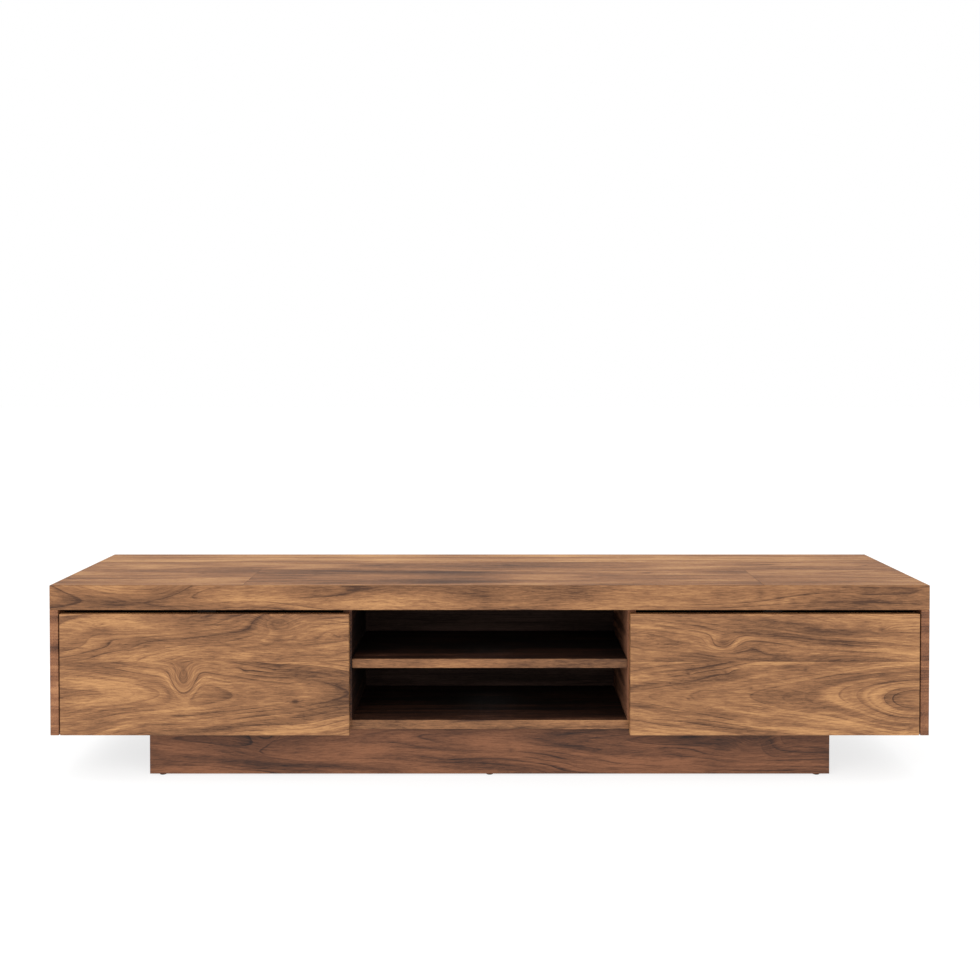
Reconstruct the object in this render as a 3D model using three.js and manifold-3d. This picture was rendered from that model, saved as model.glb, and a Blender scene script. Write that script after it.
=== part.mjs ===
/**
 * A low television bench in walnut: a thick lipped top, an open centre with one shelf, a wide
 * bottom-hung flap on each side, and a recessed plinth.
 *
 * Millimetres, +Z up. The origin is on the floor under the middle of the bench, +X runs along its
 * length and the flaps face -Y.
 */
import * as THREE from 'three';
import { mergeVertices } from 'three/addons/utils/BufferGeometryUtils.js';
import Module from 'manifold-3d';

const wasm = await Module();
wasm.setup();

// Overall size
const width = 2100;
const depth = 450;
const height = 470;

// Clearances
const seam = 0.2; // between two boards that are glued or screwed together
const play = 0.3; // between metal pieces, and round anything that turns or slides

// Top: a hollow slab with mitred lippings
const topThickness = 59;
const topSkin = 20;
const topUnderskin = 16;
const ribThickness = 20;

// Carcass boards
const sideThickness = 20;
const dividerThickness = 20;
const bottomThickness = 22;
const shelfThickness = 22;
const bodyLift = 110; // floor to the lower edge of the sides and the flaps
const bottomRecess = 8; // the bottom panel's underside above that edge
const bayWidth = 664; // clear width between the dividers
const lowerBayHeight = 126; // clear height under the shelf

// Backs and the cable space behind the open bay
const backThickness = 6;
const backInset = 2; // rear face of the back panels in from the sides' rear edges
const rebateWidth = 10;
const centreBackThickness = 12;
const chaseDepth = 117;
const cableSlot = { width: 100, height: 36, fromCeiling: 24 };
const cablePort = { radius: 30, aboveDeck: 95 };

// Plinth and glides
const plinthBoard = 20;
const plinthFrontRecess = 40;
const plinthBackRecess = 60;
const plinthSideRecess = 225;
const glideHeight = 3;
const glideRadius = 9;
const glideFromEnd = 30;

// Flaps
const flapThickness = 20;
const flapReveal = 10; // finger gap between the flap and the top
const flapSideGap = 3;
const flapShowsDivider = 4; // width of divider edge left in sight beside the bay

// Piano hinges
const leafThickness = 0.8;
const leafHeight = 20;
const leafEndInset = 5;
const knuckleRadius = 2.5;
const pinRadius = 1;
const knucklesPerHinge = 12;

// Slotted stays. The pivot and the stud are given from the hinge's axis: into the bench, then up.
const stayPivot = { into: 12, up: 150 };
const stayStud = { into: 95, up: 115 };
const stayThickness = 2;
const stayHalfWidth = 8;
const stayFromSide = 11; // side's inner face to the arm
const studRadius = 3;
const studSlide = 1.25; // clearance of the stud on each side of its slot
const slotEndSpare = 6;
const rivetRadius = 2.4;
const bracketHeight = 32;
const bracketWidth = 16;

// Catches
const catchWidth = 46;
const catchDepth = 16;
const catchHeight = 22;
const strikeThickness = 1.2;
const strikeSize = { width: 38, height: 12, belowEdge: 2 };
const catchFromBay = 345; // middle of the catch from the flap's inner edge

// Shelf pins
const shelfPinRadius = 2.5;
const shelfPinReach = 8;
const shelfPinDepth = 8;
const shelfPinFromEdge = 40;
const shelfPlay = 1;

// Cable grommets
const grommetWall = 4;
const grommetFlange = { radius: 35, thickness: 2 };

// Levels and planes that follow from the sizes above
const halfWidth = width / 2;
const front = -depth / 2;
const rear = depth / 2;
const topUnderside = height - topThickness;
const ceiling = topUnderside - seam;
const sideInner = halfWidth - sideThickness;
const halfBay = bayWidth / 2;
const dividerOuter = halfBay + dividerThickness;
const bottomUnderside = bodyLift + bottomRecess;
const deck = bottomUnderside + bottomThickness;
const shelfUnderside = deck + lowerBayHeight;
const boardsFront = front + flapThickness + 2 * leafThickness + 2 * seam + play;
const backPlane = rear - backInset - backThickness;
const boardsRear = backPlane - seam;
const centreBackRear = backPlane - chaseDepth;
const centreBackFront = centreBackRear - centreBackThickness;
const flapTop = topUnderside - flapReveal;
const flapInner = halfBay + flapShowsDivider;
const flapOuter = sideInner - flapSideGap;
const flapBack = front + flapThickness;
const hinge = { y: flapBack + play + knuckleRadius, z: bottomUnderside - play - knuckleRadius };

const finishes = {
  walnut: { color: 0x9a6d4a, roughness: 0.55, metalness: 0 },
  darkWalnut: { color: 0x74492f, roughness: 0.6, metalness: 0 },
  backBoard: { color: 0x6a4630, roughness: 0.7, metalness: 0 },
  core: { color: 0xc2a57c, roughness: 0.8, metalness: 0 },
  steel: { color: 0x8d8f92, roughness: 0.35, metalness: 1 },
  brass: { color: 0x8c7444, roughness: 0.4, metalness: 1 },
  plastic: { color: 0x1d1a18, roughness: 0.5, metalness: 0 },
};

const bench = new THREE.Group();

function addPiece(name, geometry, finish) {
  const mesh = new THREE.Mesh(geometry, new THREE.MeshStandardMaterial(finishes[finish]));
  mesh.name = name;
  bench.add(mesh);
  return mesh;
}

const hands = [
  ['left', -1],
  ['right', 1],
];

/** A square-edged board that fills the box between two limits on each axis, in either order. */
function board([xa, xb], [ya, yb], [za, zb]) {
  const geometry = new THREE.BoxGeometry(Math.abs(xb - xa), Math.abs(yb - ya), Math.abs(zb - za));
  return geometry.translate((xa + xb) / 2, (ya + yb) / 2, (za + zb) / 2);
}

/**
 * A board between two faces of four corners each, given in the same order: the one in sight and
 * the hidden one.
 */
function mitredBoard(shown, hidden) {
  const corners = [...shown, ...hidden].map((corner) => new THREE.Vector3(...corner));
  const middle = corners.reduce((sum, corner) => sum.add(corner), new THREE.Vector3()).divideScalar(8);
  const quads = [[0, 1, 2, 3], [4, 5, 6, 7]];
  for (let i = 0; i < 4; i++) {
    const next = (i + 1) % 4;
    quads.push([i, next, next + 4, i + 4]);
  }
  const positions = [];
  for (const quad of quads) {
    const [a, b, c, d] = quad.map((i) => corners[i]);
    const normal = b.clone().sub(a).cross(c.clone().sub(a));
    const outward = normal.dot(a.clone().sub(middle)) > 0;
    const loop = outward ? [a, b, c, a, c, d] : [a, c, b, a, d, c];
    loop.forEach((corner) => positions.push(corner.x, corner.y, corner.z));
  }
  const geometry = new THREE.BufferGeometry();
  geometry.setAttribute('position', new THREE.Float32BufferAttribute(positions, 3));
  return geometry;
}

/** A flat plate whose outline is drawn in Y and Z, between two X limits in either order. */
function plateAcross(shape, [xa, xb]) {
  const geometry = new THREE.ExtrudeGeometry(shape, {
    depth: Math.abs(xb - xa), bevelEnabled: false, curveSegments: 12,
  });
  const turn = new THREE.Matrix4().makeBasis(
    new THREE.Vector3(0, 1, 0), new THREE.Vector3(0, 0, 1), new THREE.Vector3(1, 0, 0));
  return geometry.applyMatrix4(turn).translate(Math.min(xa, xb), 0, 0);
}

/** A flat plate whose outline is drawn in X and Z, with its rear face at the larger Y limit. */
function plateFacing(shape, [ya, yb]) {
  const geometry = new THREE.ExtrudeGeometry(shape, {
    depth: Math.abs(yb - ya), bevelEnabled: false, curveSegments: 12,
  });
  const turn = new THREE.Matrix4().makeBasis(
    new THREE.Vector3(1, 0, 0), new THREE.Vector3(0, 0, 1), new THREE.Vector3(0, -1, 0));
  return geometry.applyMatrix4(turn).translate(0, Math.max(ya, yb), 0);
}

/** A turned piece with its axis along X. Its profile holds [radius, distance from the start]. */
function turnedAlongX(profile, side, [x, y, z], segments = 24) {
  const points = profile.map(([radius, along]) => new THREE.Vector2(radius, along));
  const geometry = new THREE.LatheGeometry(points, segments);
  return geometry.rotateZ(-side * Math.PI / 2).translate(x, y, z);
}

function solidOf(geometry) {
  const bare = geometry.clone();
  bare.deleteAttribute('normal');
  bare.deleteAttribute('uv');
  const merged = mergeVertices(bare, 1e-4);
  return new wasm.Manifold(new wasm.Mesh({
    numProp: 3,
    vertProperties: new Float32Array(merged.attributes.position.array),
    triVerts: new Uint32Array(merged.index.array),
  }));
}

function geometryOf(solid) {
  const mesh = solid.getMesh();
  const geometry = new THREE.BufferGeometry();
  geometry.setAttribute('position', new THREE.BufferAttribute(new Float32Array(mesh.vertProperties), 3));
  geometry.setIndex(new THREE.BufferAttribute(new Uint32Array(mesh.triVerts), 1));
  return geometry.toNonIndexed();
}

/** One piece made of several that touch, less the tools that cut it. */
function carved(pieces, tools = []) {
  const joined = pieces.map(solidOf).reduce((sum, solid) => sum.add(solid));
  return geometryOf(tools.map(solidOf).reduce((rest, tool) => rest.subtract(tool), joined));
}

function rod(radius, side, from, length, segments = 24) {
  return turnedAlongX([[0, 0], [radius, 0], [radius, length], [0, length]], side, from, segments);
}

// ---- Top: skin, lippings mitred round it, ribs and an under-skin -------------------------------

const mitreGap = seam * Math.SQRT2; // measured square to the mitre, this leaves one seam
const skinUnderside = height - topSkin;
const underskinTop = topUnderside + topUnderskin;
const coreFront = front + topSkin + seam;
const coreRear = rear - topSkin - seam;

addPiece('top_board', mitredBoard(
  [
    [-halfWidth + mitreGap, front + mitreGap, height],
    [halfWidth - mitreGap, front + mitreGap, height],
    [halfWidth - mitreGap, rear, height],
    [-halfWidth + mitreGap, rear, height],
  ],
  [
    [-halfWidth + topSkin + mitreGap, front + topSkin + mitreGap, skinUnderside],
    [halfWidth - topSkin - mitreGap, front + topSkin + mitreGap, skinUnderside],
    [halfWidth - topSkin - mitreGap, rear, skinUnderside],
    [-halfWidth + topSkin + mitreGap, rear, skinUnderside],
  ],
), 'walnut');

addPiece('top_front_lipping', mitredBoard(
  [
    [-halfWidth + mitreGap, front, topUnderside],
    [halfWidth - mitreGap, front, topUnderside],
    [halfWidth - mitreGap, front, height],
    [-halfWidth + mitreGap, front, height],
  ],
  [
    [-halfWidth + topSkin + mitreGap, front + topSkin, topUnderside],
    [halfWidth - topSkin - mitreGap, front + topSkin, topUnderside],
    [halfWidth - topSkin - mitreGap, front + topSkin, skinUnderside],
    [-halfWidth + topSkin + mitreGap, front + topSkin, skinUnderside],
  ],
), 'walnut');

for (const [hand, side] of hands) {
  addPiece(`top_${hand}_lipping`, mitredBoard(
    [
      [side * halfWidth, front, topUnderside],
      [side * halfWidth, rear, topUnderside],
      [side * halfWidth, rear, height],
      [side * halfWidth, front, height],
    ],
    [
      [side * (halfWidth - topSkin), front + topSkin, topUnderside],
      [side * (halfWidth - topSkin), rear, topUnderside],
      [side * (halfWidth - topSkin), rear, skinUnderside],
      [side * (halfWidth - topSkin), front + topSkin, skinUnderside],
    ],
  ), 'walnut');
}

const coreHalf = halfWidth - topSkin - seam;
addPiece('top_back_rail', board(
  [-coreHalf, coreHalf], [coreRear + seam, rear], [topUnderside, skinUnderside - seam]), 'walnut');
addPiece('top_underskin', board(
  [-coreHalf, coreHalf], [coreFront, coreRear], [topUnderside, underskinTop]), 'walnut');

for (const [hand, side] of hands) {
  const ribs = [['outer', coreHalf - ribThickness], ['inner', halfBay]];
  for (const [place, x] of ribs) {
    addPiece(`top_rib_${place}_${hand}`, board(
      [side * x, side * (x + ribThickness)],
      [coreFront, coreRear],
      [underskinTop + seam, skinUnderside - seam]), 'core');
  }
}

// ---- Carcass: sides, dividers, bottom panel, shelf --------------------------------------------

const portMiddle = { y: (centreBackRear + boardsRear) / 2, z: deck + cablePort.aboveDeck };
const shelfRear = centreBackFront - shelfPlay;
const shelfPinPlaces = [['front', boardsFront + shelfPinFromEdge], ['rear', shelfRear - shelfPinFromEdge]];
const shelfPinHeight = shelfUnderside - seam - shelfPinRadius;

for (const [hand, side] of hands) {
  const rebate = board(
    [side * (sideInner - 1), side * (sideInner + rebateWidth)],
    [boardsRear, rear + 1],
    [bottomUnderside - seam, ceiling + 1]);
  addPiece(`${hand}_side`, carved([board(
    [side * sideInner, side * halfWidth], [front, rear], [bodyLift, ceiling])], [rebate]), 'walnut');

  const portStart = [side * (halfBay - 1), portMiddle.y, portMiddle.z];
  const port = rod(cablePort.radius, side, portStart, dividerThickness + 2, 32);
  const pinHoles = shelfPinPlaces.map(([, y]) => rod(
    shelfPinRadius + play, side, [side * (halfBay - 1), y, shelfPinHeight], shelfPinDepth + play + 1, 16));
  addPiece(`${hand}_divider`, carved([board(
    [side * halfBay, side * dividerOuter], [boardsFront, boardsRear], [deck + seam, ceiling])],
  [port, ...pinHoles]), 'walnut');
}

addPiece('bottom_panel', board(
  [-sideInner + seam, sideInner - seam], [boardsFront, boardsRear], [bottomUnderside, deck]), 'walnut');
addPiece('shelf', board(
  [-halfBay + shelfPlay, halfBay - shelfPlay],
  [boardsFront, shelfRear],
  [shelfUnderside, shelfUnderside + shelfThickness]), 'walnut');

for (const [hand, side] of hands) {
  for (const [place, y] of shelfPinPlaces) {
    addPiece(`shelf_pin_${place}_${hand}`, rod(
      shelfPinRadius, side, [side * (halfBay - shelfPinReach), y, shelfPinHeight],
      shelfPinReach + shelfPinDepth, 16), 'steel');
  }
}

// ---- Backs: a thin panel behind each cupboard, a forward one behind the bay --------------------

for (const [hand, side] of hands) {
  addPiece(`${hand}_back`, board(
    [side * (halfBay + dividerThickness / 2), side * (sideInner + rebateWidth - seam)],
    [backPlane, backPlane + backThickness],
    [bottomUnderside, ceiling]), 'backBoard');
}

/** A slot with round ends, as a hole for a shape. */
function slotHole(middleX, middleY, length, thickness) {
  const radius = thickness / 2;
  const straight = length / 2 - radius;
  const hole = new THREE.Path();
  hole.absarc(middleX + straight, middleY, radius, -Math.PI / 2, Math.PI / 2, false);
  hole.absarc(middleX - straight, middleY, radius, Math.PI / 2, Math.PI * 1.5, false);
  hole.closePath();
  return hole;
}

const centreBackShape = new THREE.Shape([
  new THREE.Vector2(-halfBay + seam, deck + seam),
  new THREE.Vector2(halfBay - seam, deck + seam),
  new THREE.Vector2(halfBay - seam, ceiling),
  new THREE.Vector2(-halfBay + seam, ceiling),
]);
for (const bayCeiling of [shelfUnderside, ceiling]) {
  const slotMiddle = bayCeiling - cableSlot.fromCeiling - cableSlot.height / 2;
  centreBackShape.holes.push(slotHole(0, slotMiddle, cableSlot.width, cableSlot.height));
}
addPiece('centre_back', plateFacing(centreBackShape, [centreBackFront, centreBackRear]), 'backBoard');

for (const [hand, side] of hands) {
  const sleeveRadius = cablePort.radius - play;
  addPiece(`${hand}_cable_grommet`, turnedAlongX(
    [
      [sleeveRadius - grommetWall, 0],
      [sleeveRadius, 0],
      [sleeveRadius, dividerThickness + seam],
      [grommetFlange.radius, dividerThickness + seam],
      [grommetFlange.radius, dividerThickness + seam + grommetFlange.thickness],
      [sleeveRadius - grommetWall, dividerThickness + seam + grommetFlange.thickness],
      [sleeveRadius - grommetWall, 0],
    ],
    side, [side * halfBay, portMiddle.y, portMiddle.z], 32), 'plastic');
}

// ---- Plinth: a frame of boards on plain glides --------------------------------------------------

const plinthHalf = halfWidth - plinthSideRecess;
const plinthFront = front + plinthFrontRecess;
const plinthRear = rear - plinthBackRecess;
const plinthLevels = [glideHeight + seam, bottomUnderside - seam];
const plinthInside = [plinthFront + plinthBoard + seam, plinthRear - plinthBoard - seam];

addPiece('plinth_front', board(
  [-plinthHalf, plinthHalf], [plinthFront, plinthFront + plinthBoard], plinthLevels), 'darkWalnut');
addPiece('plinth_back', board(
  [-plinthHalf, plinthHalf], [plinthRear - plinthBoard, plinthRear], plinthLevels), 'darkWalnut');
addPiece('plinth_cross_rail', board(
  [-plinthBoard / 2, plinthBoard / 2], plinthInside, plinthLevels), 'core');
for (const [hand, side] of hands) {
  addPiece(`plinth_${hand}`, board(
    [side * plinthHalf, side * (plinthHalf - plinthBoard)], plinthInside, plinthLevels), 'darkWalnut');
}

const glideRows = [['front', plinthFront + plinthBoard / 2], ['rear', plinthRear - plinthBoard / 2]];
const glideReach = plinthHalf - glideFromEnd;
const glideColumns = [['left', -glideReach], ['middle', 0], ['right', glideReach]];
const glideProfile = [
  [0, 0],
  [glideRadius - 1, 0],
  [glideRadius, 1],
  [glideRadius, glideHeight],
  [0, glideHeight],
];
for (const [row, y] of glideRows) {
  for (const [column, x] of glideColumns) {
    const glide = new THREE.LatheGeometry(glideProfile.map(([r, z]) => new THREE.Vector2(r, z)), 20);
    addPiece(`glide_${row}_${column}`, glide.rotateX(Math.PI / 2).translate(x, y, 0), 'plastic');
  }
}

// ---- Flaps and their piano hinges ---------------------------------------------------------------

const leafStart = flapInner + leafEndInset;
const leafLength = flapOuter - leafEndInset - leafStart;
const knucklePitch = leafLength / knucklesPerHinge;

/**
 * One leaf of a piano hinge: a strip above the axis, a tab down to each of its own knuckles, and
 * the knuckles themselves, all bored through for the pin. Every second knuckle belongs to it.
 */
function hingeLeaf(side, [ya, yb], firstKnuckle) {
  const stripFoot = hinge.z + knuckleRadius + play;
  const leafEnds = [side * leafStart, side * (leafStart + leafLength)];
  const pieces = [board(leafEnds, [ya, yb], [stripFoot, stripFoot + leafHeight])];
  for (let k = firstKnuckle; k < knucklesPerHinge; k += 2) {
    const start = leafStart + k * knucklePitch + play / 2;
    const length = knucklePitch - play;
    pieces.push(board([side * start, side * (start + length)], [ya, yb], [hinge.z, stripFoot + 1]));
    pieces.push(rod(knuckleRadius, side, [side * start, hinge.y, hinge.z], length, 16));
  }
  const bore = rod(pinRadius + play, side, [side * (leafStart - 1), hinge.y, hinge.z], leafLength + 2, 12);
  return carved(pieces, [bore]);
}

for (const [hand, side] of hands) {
  addPiece(`${hand}_flap`, board(
    [side * flapInner, side * flapOuter], [front, flapBack], [bodyLift, flapTop]), 'walnut');
  const movingLeaf = [flapBack + seam, flapBack + seam + leafThickness];
  const fixedLeaf = [boardsFront - seam - leafThickness, boardsFront - seam];
  addPiece(`${hand}_hinge_moving_leaf`, hingeLeaf(side, movingLeaf, 0), 'brass');
  addPiece(`${hand}_hinge_fixed_leaf`, hingeLeaf(side, fixedLeaf, 1), 'brass');
  addPiece(`${hand}_hinge_pin`, rod(
    pinRadius, side, [side * leafStart, hinge.y, hinge.z], leafLength, 12), 'steel');
}

// ---- Slotted stays: an arm riveted to a bracket on the flap, sliding on a stud in the side ------

const pivotPoint = { y: hinge.y + stayPivot.into, z: hinge.z + stayPivot.up };
const studPoint = { y: hinge.y + stayStud.into, z: hinge.z + stayStud.up };
const shutReach = Math.hypot(stayStud.into - stayPivot.into, stayStud.up - stayPivot.up);
const openReach = Math.hypot(stayStud.into + stayPivot.up, stayStud.up - stayPivot.into);
const armAngle = Math.atan2(stayStud.up - stayPivot.up, stayStud.into - stayPivot.into);
const slotHalf = studRadius + studSlide;
const slotStart = shutReach - slotEndSpare;
const slotEnd = openReach + slotEndSpare;

/** A bar with round ends, drawn from its pivot along the first axis. */
function armShape() {
  const length = slotEnd + stayHalfWidth - slotHalf;
  const shape = new THREE.Shape();
  shape.absarc(0, 0, stayHalfWidth, Math.PI / 2, Math.PI * 1.5, false);
  shape.absarc(length - stayHalfWidth, 0, stayHalfWidth, -Math.PI / 2, Math.PI / 2, false);
  shape.closePath();
  const rivetHole = new THREE.Path();
  rivetHole.absarc(0, 0, rivetRadius + play, 0, Math.PI * 2, false);
  shape.holes.push(rivetHole, slotHole((slotStart + slotEnd) / 2, 0, slotEnd - slotStart, 2 * slotHalf));
  return shape;
}

const armNear = sideInner - stayFromSide;
const armFar = armNear - stayThickness;
const lugNear = armFar - play;
const lugFar = lugNear - stayThickness;
const rivetHead = { radius: 4.5, thickness: 1.2 };
const studHead = { radius: 6.5, thickness: 1.5 };
const studFlange = { radius: 8, thickness: 2 };

for (const [hand, side] of hands) {
  const arm = addPiece(`${hand}_stay_arm`, plateAcross(armShape(), [side * armNear, side * armFar]), 'steel');
  arm.position.set(0, pivotPoint.y, pivotPoint.z);
  arm.rotation.x = armAngle;

  const lugShape = new THREE.Shape();
  lugShape.moveTo(flapBack + seam, pivotPoint.z - stayHalfWidth);
  lugShape.absarc(pivotPoint.y, pivotPoint.z, stayHalfWidth, -Math.PI / 2, Math.PI / 2, false);
  lugShape.lineTo(flapBack + seam, pivotPoint.z + stayHalfWidth);
  lugShape.closePath();
  const lugHole = new THREE.Path();
  lugHole.absarc(pivotPoint.y, pivotPoint.z, rivetRadius + play, 0, Math.PI * 2, false);
  lugShape.holes.push(lugHole);
  const foot = board(
    [side * lugNear, side * (lugNear - bracketWidth)],
    [flapBack + seam, flapBack + seam + stayThickness],
    [pivotPoint.z - bracketHeight / 2, pivotPoint.z + bracketHeight / 2]);
  addPiece(`${hand}_stay_bracket`, carved(
    [plateAcross(lugShape, [side * lugNear, side * lugFar]), foot]), 'steel');

  const rivetStart = lugFar - play - rivetHead.thickness;
  const rivetShank = rivetStart + rivetHead.thickness;
  const rivetEnd = armNear + play + rivetHead.thickness;
  addPiece(`${hand}_stay_rivet`, turnedAlongX(
    [
      [0, 0],
      [rivetHead.radius, 0],
      [rivetHead.radius, rivetShank - rivetStart],
      [rivetRadius, rivetShank - rivetStart],
      [rivetRadius, rivetEnd - rivetHead.thickness - rivetStart],
      [rivetHead.radius, rivetEnd - rivetHead.thickness - rivetStart],
      [rivetHead.radius, rivetEnd - rivetStart],
      [0, rivetEnd - rivetStart],
    ],
    side, [side * rivetStart, pivotPoint.y, pivotPoint.z], 16), 'steel');

  const studStart = armFar - 2 * play - studHead.thickness;
  const studLength = sideInner - seam - studStart;
  addPiece(`${hand}_stay_stud`, turnedAlongX(
    [
      [0, 0],
      [studHead.radius, 0],
      [studHead.radius, studHead.thickness],
      [studRadius, studHead.thickness],
      [studRadius, studLength - studFlange.thickness],
      [studFlange.radius, studLength - studFlange.thickness],
      [studFlange.radius, studLength],
      [0, studLength],
    ],
    side, [side * studStart, studPoint.y, studPoint.z], 20), 'steel');
}

// ---- Magnetic catches under the top, with a strike plate on each flap ---------------------------

for (const [hand, side] of hands) {
  const middle = flapInner + catchFromBay;
  const strikeFace = flapBack + seam + strikeThickness;
  addPiece(`${hand}_catch`, board(
    [side * (middle - catchWidth / 2), side * (middle + catchWidth / 2)],
    [strikeFace + play, strikeFace + play + catchDepth],
    [ceiling - catchHeight, ceiling]), 'plastic');
  addPiece(`${hand}_strike_plate`, board(
    [side * (middle - strikeSize.width / 2), side * (middle + strikeSize.width / 2)],
    [flapBack + seam, strikeFace],
    [flapTop - strikeSize.belowEdge - strikeSize.height, flapTop - strikeSize.belowEdge]), 'steel');
}

export default bench;
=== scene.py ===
import math

import bmesh
import bpy
import numpy as np
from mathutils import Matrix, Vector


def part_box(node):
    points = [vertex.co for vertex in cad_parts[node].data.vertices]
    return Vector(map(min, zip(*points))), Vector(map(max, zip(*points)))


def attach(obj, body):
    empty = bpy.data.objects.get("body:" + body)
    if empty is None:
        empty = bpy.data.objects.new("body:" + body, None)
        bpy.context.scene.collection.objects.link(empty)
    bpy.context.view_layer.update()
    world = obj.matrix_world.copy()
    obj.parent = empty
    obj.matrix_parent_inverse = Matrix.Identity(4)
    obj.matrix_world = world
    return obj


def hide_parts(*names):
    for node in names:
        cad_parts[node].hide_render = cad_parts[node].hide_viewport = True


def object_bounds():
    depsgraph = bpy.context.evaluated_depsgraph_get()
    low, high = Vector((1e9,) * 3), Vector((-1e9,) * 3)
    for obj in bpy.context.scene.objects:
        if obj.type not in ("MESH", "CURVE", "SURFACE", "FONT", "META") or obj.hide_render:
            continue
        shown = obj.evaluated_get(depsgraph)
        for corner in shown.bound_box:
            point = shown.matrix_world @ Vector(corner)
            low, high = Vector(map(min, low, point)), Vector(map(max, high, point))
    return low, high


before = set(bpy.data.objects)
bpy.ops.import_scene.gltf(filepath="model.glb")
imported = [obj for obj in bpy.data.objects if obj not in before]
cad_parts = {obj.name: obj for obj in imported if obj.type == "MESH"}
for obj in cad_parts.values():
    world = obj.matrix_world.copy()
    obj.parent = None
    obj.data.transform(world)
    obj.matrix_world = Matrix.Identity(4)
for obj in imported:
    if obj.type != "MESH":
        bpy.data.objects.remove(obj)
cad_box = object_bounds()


# ---- The room ------------------------------------------------------------------------------------
# A camera at sitting height well back from the bench, three soft boxes and a white floor that glows
# a little of its own, as a light table does, so that the bench's shadow on it stays faint.

camera_data = bpy.data.cameras.new("camera")
camera_data.lens = 39.76
camera_data.shift_y = -0.0953
camera = bpy.data.objects.new("camera", camera_data)
camera.location = (0.0009, -2.7966, 0.9678)
camera.rotation_euler = (math.pi / 2 - 0.01856, 0, 0)
bpy.context.scene.collection.objects.link(camera)
bpy.context.scene.camera = camera

for name, place, target, width, height, power in (
    ("key", (-1.9, -3.0, 2.6), (0, 0, 0.3), 2.4, 1.6, 34),
    ("fill", (2.3, -3.2, 1.7), (0, 0, 0.3), 2.4, 1.6, 12),
    ("overhead", (0, 0.3, 2.9), (0, 0, 0.4), 3.4, 1.6, 18),
):
    lamp = bpy.data.lights.new(name, "AREA")
    lamp.shape = "RECTANGLE"
    lamp.size = width
    lamp.size_y = height
    lamp.energy = power
    lamp_object = bpy.data.objects.new(name, lamp)
    lamp_object.location = place
    aim = np.array(target) - np.array(place)
    lamp_object.rotation_euler = (
        math.acos(-aim[2] / np.linalg.norm(aim)), 0, math.atan2(aim[1], aim[0]) - math.pi / 2)
    bpy.context.scene.collection.objects.link(lamp_object)


def linear(code):
    """The linear colour, with full alpha, of an sRGB hex code."""
    parts = [int(code[i:i + 2], 16) / 255 for i in (1, 3, 5)]
    return tuple(c / 12.92 if c <= 0.04045 else ((c + 0.055) / 1.055) ** 2.4 for c in parts) + (1.0,)


def add(tree, kind, inputs=None, stops=None, **settings):
    """Adds a shader node. Each input is a value or the socket that feeds it, and the stops are a
    ramp's places with their colours or grey values."""
    made = tree.nodes.new("ShaderNode" + kind)
    for key, value in settings.items():
        setattr(made, key, value)
    for key, value in (inputs or {}).items():
        if isinstance(value, bpy.types.NodeSocket):
            tree.links.new(value, made.inputs[key])
        else:
            made.inputs[key].default_value = value
    for count, (place, shade) in enumerate(stops or ()):
        ramp = made.color_ramp.elements
        stop = ramp[count] if count < 2 else ramp.new(place)
        stop.position = place
        stop.color = linear(shade) if isinstance(shade, str) else (shade, shade, shade, 1)
    return made


def new_material(name):
    """An empty material with its node tree, and its Principled shader wired to the output."""
    material = bpy.data.materials.new(name)
    material.use_nodes = True
    tree = material.node_tree
    tree.nodes.clear()
    shader = add(tree, "BsdfPrincipled")
    add(tree, "OutputMaterial", {"Surface": shader.outputs[0]})
    return material, tree, shader


floor_mesh = bpy.data.meshes.new("floor")
floor_mesh.from_pydata([(-30, -30, 0), (30, -30, 0), (30, 30, 0), (-30, 30, 0)], [], [(0, 1, 2, 3)])
floor = bpy.data.objects.new("floor", floor_mesh)
bpy.context.scene.collection.objects.link(floor)
light_table, tree, shader = new_material("white_light_table")
shader.inputs["Base Color"].default_value = (0.34, 0.34, 0.34, 1)
shader.inputs["Roughness"].default_value = 1.0
shader.inputs["Specular IOR Level"].default_value = 0.0
shader.inputs["Emission Color"].default_value = (1, 1, 1, 1)
shader.inputs["Emission Strength"].default_value = 0.74
floor_mesh.materials.append(light_table)

world = bpy.data.worlds.new("studio")
world.use_nodes = True
world.node_tree.nodes["Background"].inputs["Color"].default_value = (1, 1, 1, 1)
world.node_tree.nodes["Background"].inputs["Strength"].default_value = 1.0
bpy.context.scene.world = world
bpy.context.scene.view_settings.view_transform = "Standard"


# ---- Plinth --------------------------------------------------------------------------------------
# A frame of 20 mm solid walnut boards, butt-jointed and screwed from inside, with a softwood rail
# across its middle. It is set back from the body on all sides, and its walnut is coloured darker
# than the body's: painted shade, for the shade under the body's overhang.

HANDS = (("left", -1), ("right", 1))
FRONT = cad_box[0][1]
ARRIS = 0.0009  # a hand-sanded edge
SUPPORT = 0.0004  # the first line of the grid in from an edge, which keeps the face beside it flat
SHARP_EDGE = math.radians(35)
EASED_EDGE = math.radians(40)  # a bevel eases edges sharper than this
GLUE_REACH = 0.0003  # a glue line darkens the wood this far from the joint
FRONT_DEPTH = 0.0012  # faces this close to a board's front take the finish of its front edge


def span(node):
    """The lowest and the highest corner of a CAD node as arrays."""
    low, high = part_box(node)
    return np.array(low), np.array(high)


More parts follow.
